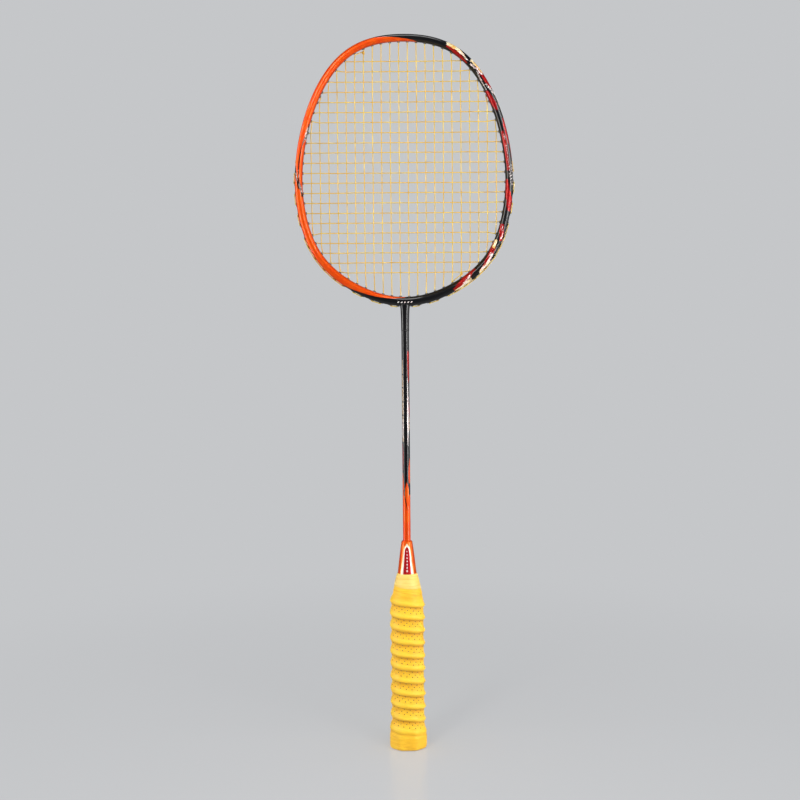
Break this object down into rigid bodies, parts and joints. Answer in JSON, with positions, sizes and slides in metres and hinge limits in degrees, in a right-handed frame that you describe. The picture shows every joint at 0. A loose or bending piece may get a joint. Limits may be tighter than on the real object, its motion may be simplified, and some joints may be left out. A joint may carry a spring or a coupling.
{
  "type": "badminton racket",
  "caption": "Badminton racket: an oval strung hoop on a slim round shaft, a flared cone, and an eight-sided handle wound with a ribbed, perforated overgrip.",
  "frame": {"origin": "centre of the flat butt end of the handle", "axes": "+Z along the handle and shaft to the tip of the head; the strings lie in the XZ plane; -Y is the front face, and +X is on its right"},
  "size_m": [0.2066, 0.0322, 0.6753],
  "materials": {
    "frame_lacquer": "clear-coated paint over carbon composite, orange fading to black with flame flecks",
    "black_lacquer": "clear-coated black paint",
    "shaft_lacquer": "clear-coated black paint with orange and gold flame marks",
    "joint_alloy": "plain machined alloy, hidden",
    "cone_plastic": "glossy orange with a plain red panel",
    "handle_wood": "bare wood, hidden",
    "cap_plastic": "moulded, slightly satin",
    "badge_plastic": "plain inset disc",
    "fixings_steel": "plain small nail, hidden",
    "base_grip_pu": "soft foam-backed polyurethane strip, hidden",
    "overgrip_pu": "soft matte perforated polyurethane with a raised rib",
    "finishing_tape": "smooth stretch tape",
    "string_nylon": "multifilament nylon with a slight sheen",
    "grommet_nylon": "moulded nylon"
  },
  "bodies": {
    "root": {"base_grip": "base_grip_pu", "butt_badge": "badge_plastic", "butt_cap": "cap_plastic", "cap_nail_left": "fixings_steel", "cap_nail_right": "fixings_steel", "cone_cap": "cone_plastic", "finishing_tape": "finishing_tape", "frame_hoop": "frame_lacquer", "grommets_left_1": "grommet_nylon", "grommets_left_2": "grommet_nylon", "grommets_left_3": "grommet_nylon", "grommets_left_4": "grommet_nylon", "grommets_left_5": "grommet_nylon", "grommets_left_6": "grommet_nylon", "grommets_left_7": "grommet_nylon", "grommets_left_8": "grommet_nylon", "grommets_left_9": "grommet_nylon", "grommets_right_1": "grommet_nylon", "grommets_right_2": "grommet_nylon", "grommets_right_3": "grommet_nylon", "grommets_right_4": "grommet_nylon", "grommets_right_5": "grommet_nylon", "grommets_right_6": "grommet_nylon", "grommets_right_7": "grommet_nylon", "grommets_right_8": "grommet_nylon", "grommets_right_9": "grommet_nylon", "handle_core": "handle_wood", "overgrip": "overgrip_pu", "shaft": "shaft_lacquer", "string": "string_nylon", "t_joint": "joint_alloy", "throat": "black_lacquer"}
  },
  "joints": []
}
